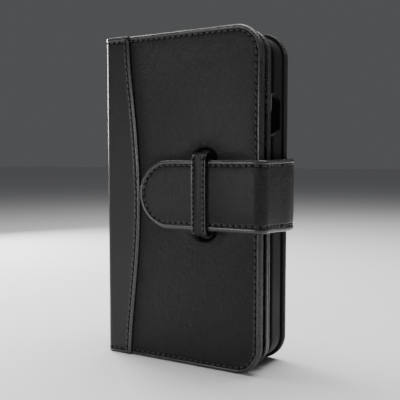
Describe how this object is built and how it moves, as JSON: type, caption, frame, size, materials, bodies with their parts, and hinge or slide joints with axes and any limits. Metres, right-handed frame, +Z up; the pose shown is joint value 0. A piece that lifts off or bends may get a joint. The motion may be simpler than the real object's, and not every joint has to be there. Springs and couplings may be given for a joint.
{
  "type": "phone wallet case",
  "caption": "Book-style leather wallet case that folds round a phone held in a moulded tray, with a hinged card leaf and a strap that tucks through a keeper loop.",
  "frame": {"origin": "middle of the closed case's footprint, strap and keeper included, at the level of the lower cover edges that it stands on", "axes": "+X from the spine to the opening edge, +Y from the front cover to the back cover, +Z up along the covers' height"},
  "size_m": [0.0886, 0.0376, 0.16],
  "materials": {
    "outer_leather": "matte",
    "spine_leather": "satin",
    "pocket_leather": "satin",
    "lining_fabric": "matte",
    "greyboard": "matte",
    "foam": "matte",
    "tray_polymer": "matte",
    "thread": "satin"
  },
  "bodies": {
    "front_cover": {"front_leather": "outer_leather", "front_padding": "foam", "front_board": "greyboard", "front_lining": "lining_fabric", "front_cash_pocket": "pocket_leather", "front_card_pocket_1": "pocket_leather", "front_card_pocket_2": "pocket_leather", "front_card_pocket_3": "pocket_leather", "keeper_strip": "outer_leather", "keeper_backing": "lining_fabric", "spine_flap_front": "spine_leather"},
    "spine": {"spine_leather": "spine_leather", "spine_board": "greyboard", "spine_lining": "lining_fabric", "leaf_hinge_strip": "lining_fabric"},
    "card_leaf": {"leaf_leather_front": "outer_leather", "leaf_leather_rear": "outer_leather", "leaf_board": "greyboard", "leaf_pocket_front_1": "pocket_leather", "leaf_pocket_front_2": "pocket_leather", "leaf_pocket_rear_1": "pocket_leather", "leaf_pocket_rear_2": "pocket_leather"},
    "back_cover": {"spine_flap_back": "spine_leather", "back_leather": "outer_leather", "back_board": "greyboard", "back_lining": "lining_fabric", "tray_bond_pad": "foam", "phone_tray": "tray_polymer", "tray_liner": "lining_fabric", "strap_base_leather": "outer_leather", "strap_base_lining": "lining_fabric", "strap_base_core": "foam", "strap_root_bend": "outer_leather"},
    "strap_side": {"strap_side_leather": "outer_leather", "strap_side_lining": "lining_fabric", "strap_side_core": "foam", "strap_front_bend": "outer_leather"},
    "strap_tongue": {"strap_tongue_leather": "outer_leather", "strap_tongue_lining": "lining_fabric", "strap_tongue_core": "foam"}
  },
  "joints": [
    {"name": "spine_hinge", "type": "hinge", "parent": "back_cover", "child": "spine", "pos_m": [-0.04435, 0.0176, 0.08], "axis": [0, 0, -1], "range_deg": [0, 90]},
    {"name": "cover_hinge", "type": "hinge", "parent": "spine", "child": "front_cover", "pos_m": [-0.04435, -0.0154, 0.08], "axis": [0, 0, -1], "range_deg": [0, 90]},
    {"name": "leaf_hinge", "type": "hinge", "parent": "spine", "child": "card_leaf", "pos_m": [-0.03995, -0.003, 0.08], "axis": [0, 0, -1], "range_deg": [0, 45]},
    {"name": "strap_root_fold", "type": "hinge", "parent": "back_cover", "child": "strap_side", "pos_m": [0.04175, 0.0162, 0.0827], "axis": [0, 0, 1], "range_deg": [0, 90], "deforming": ["strap_root_bend"]},
    {"name": "strap_tongue_fold", "type": "hinge", "parent": "strap_side", "child": "strap_tongue", "pos_m": [0.04175, -0.0143, 0.0827], "axis": [0, 0, 1], "range_deg": [0, 90], "deforming": ["strap_front_bend", "strap_tongue_leather", "strap_tongue_lining", "strap_tongue_core"]}
  ],
  "couplings": [
    {"joint": "leaf_hinge", "follows": "cover_hinge", "ratio": 0.5}
  ]
}
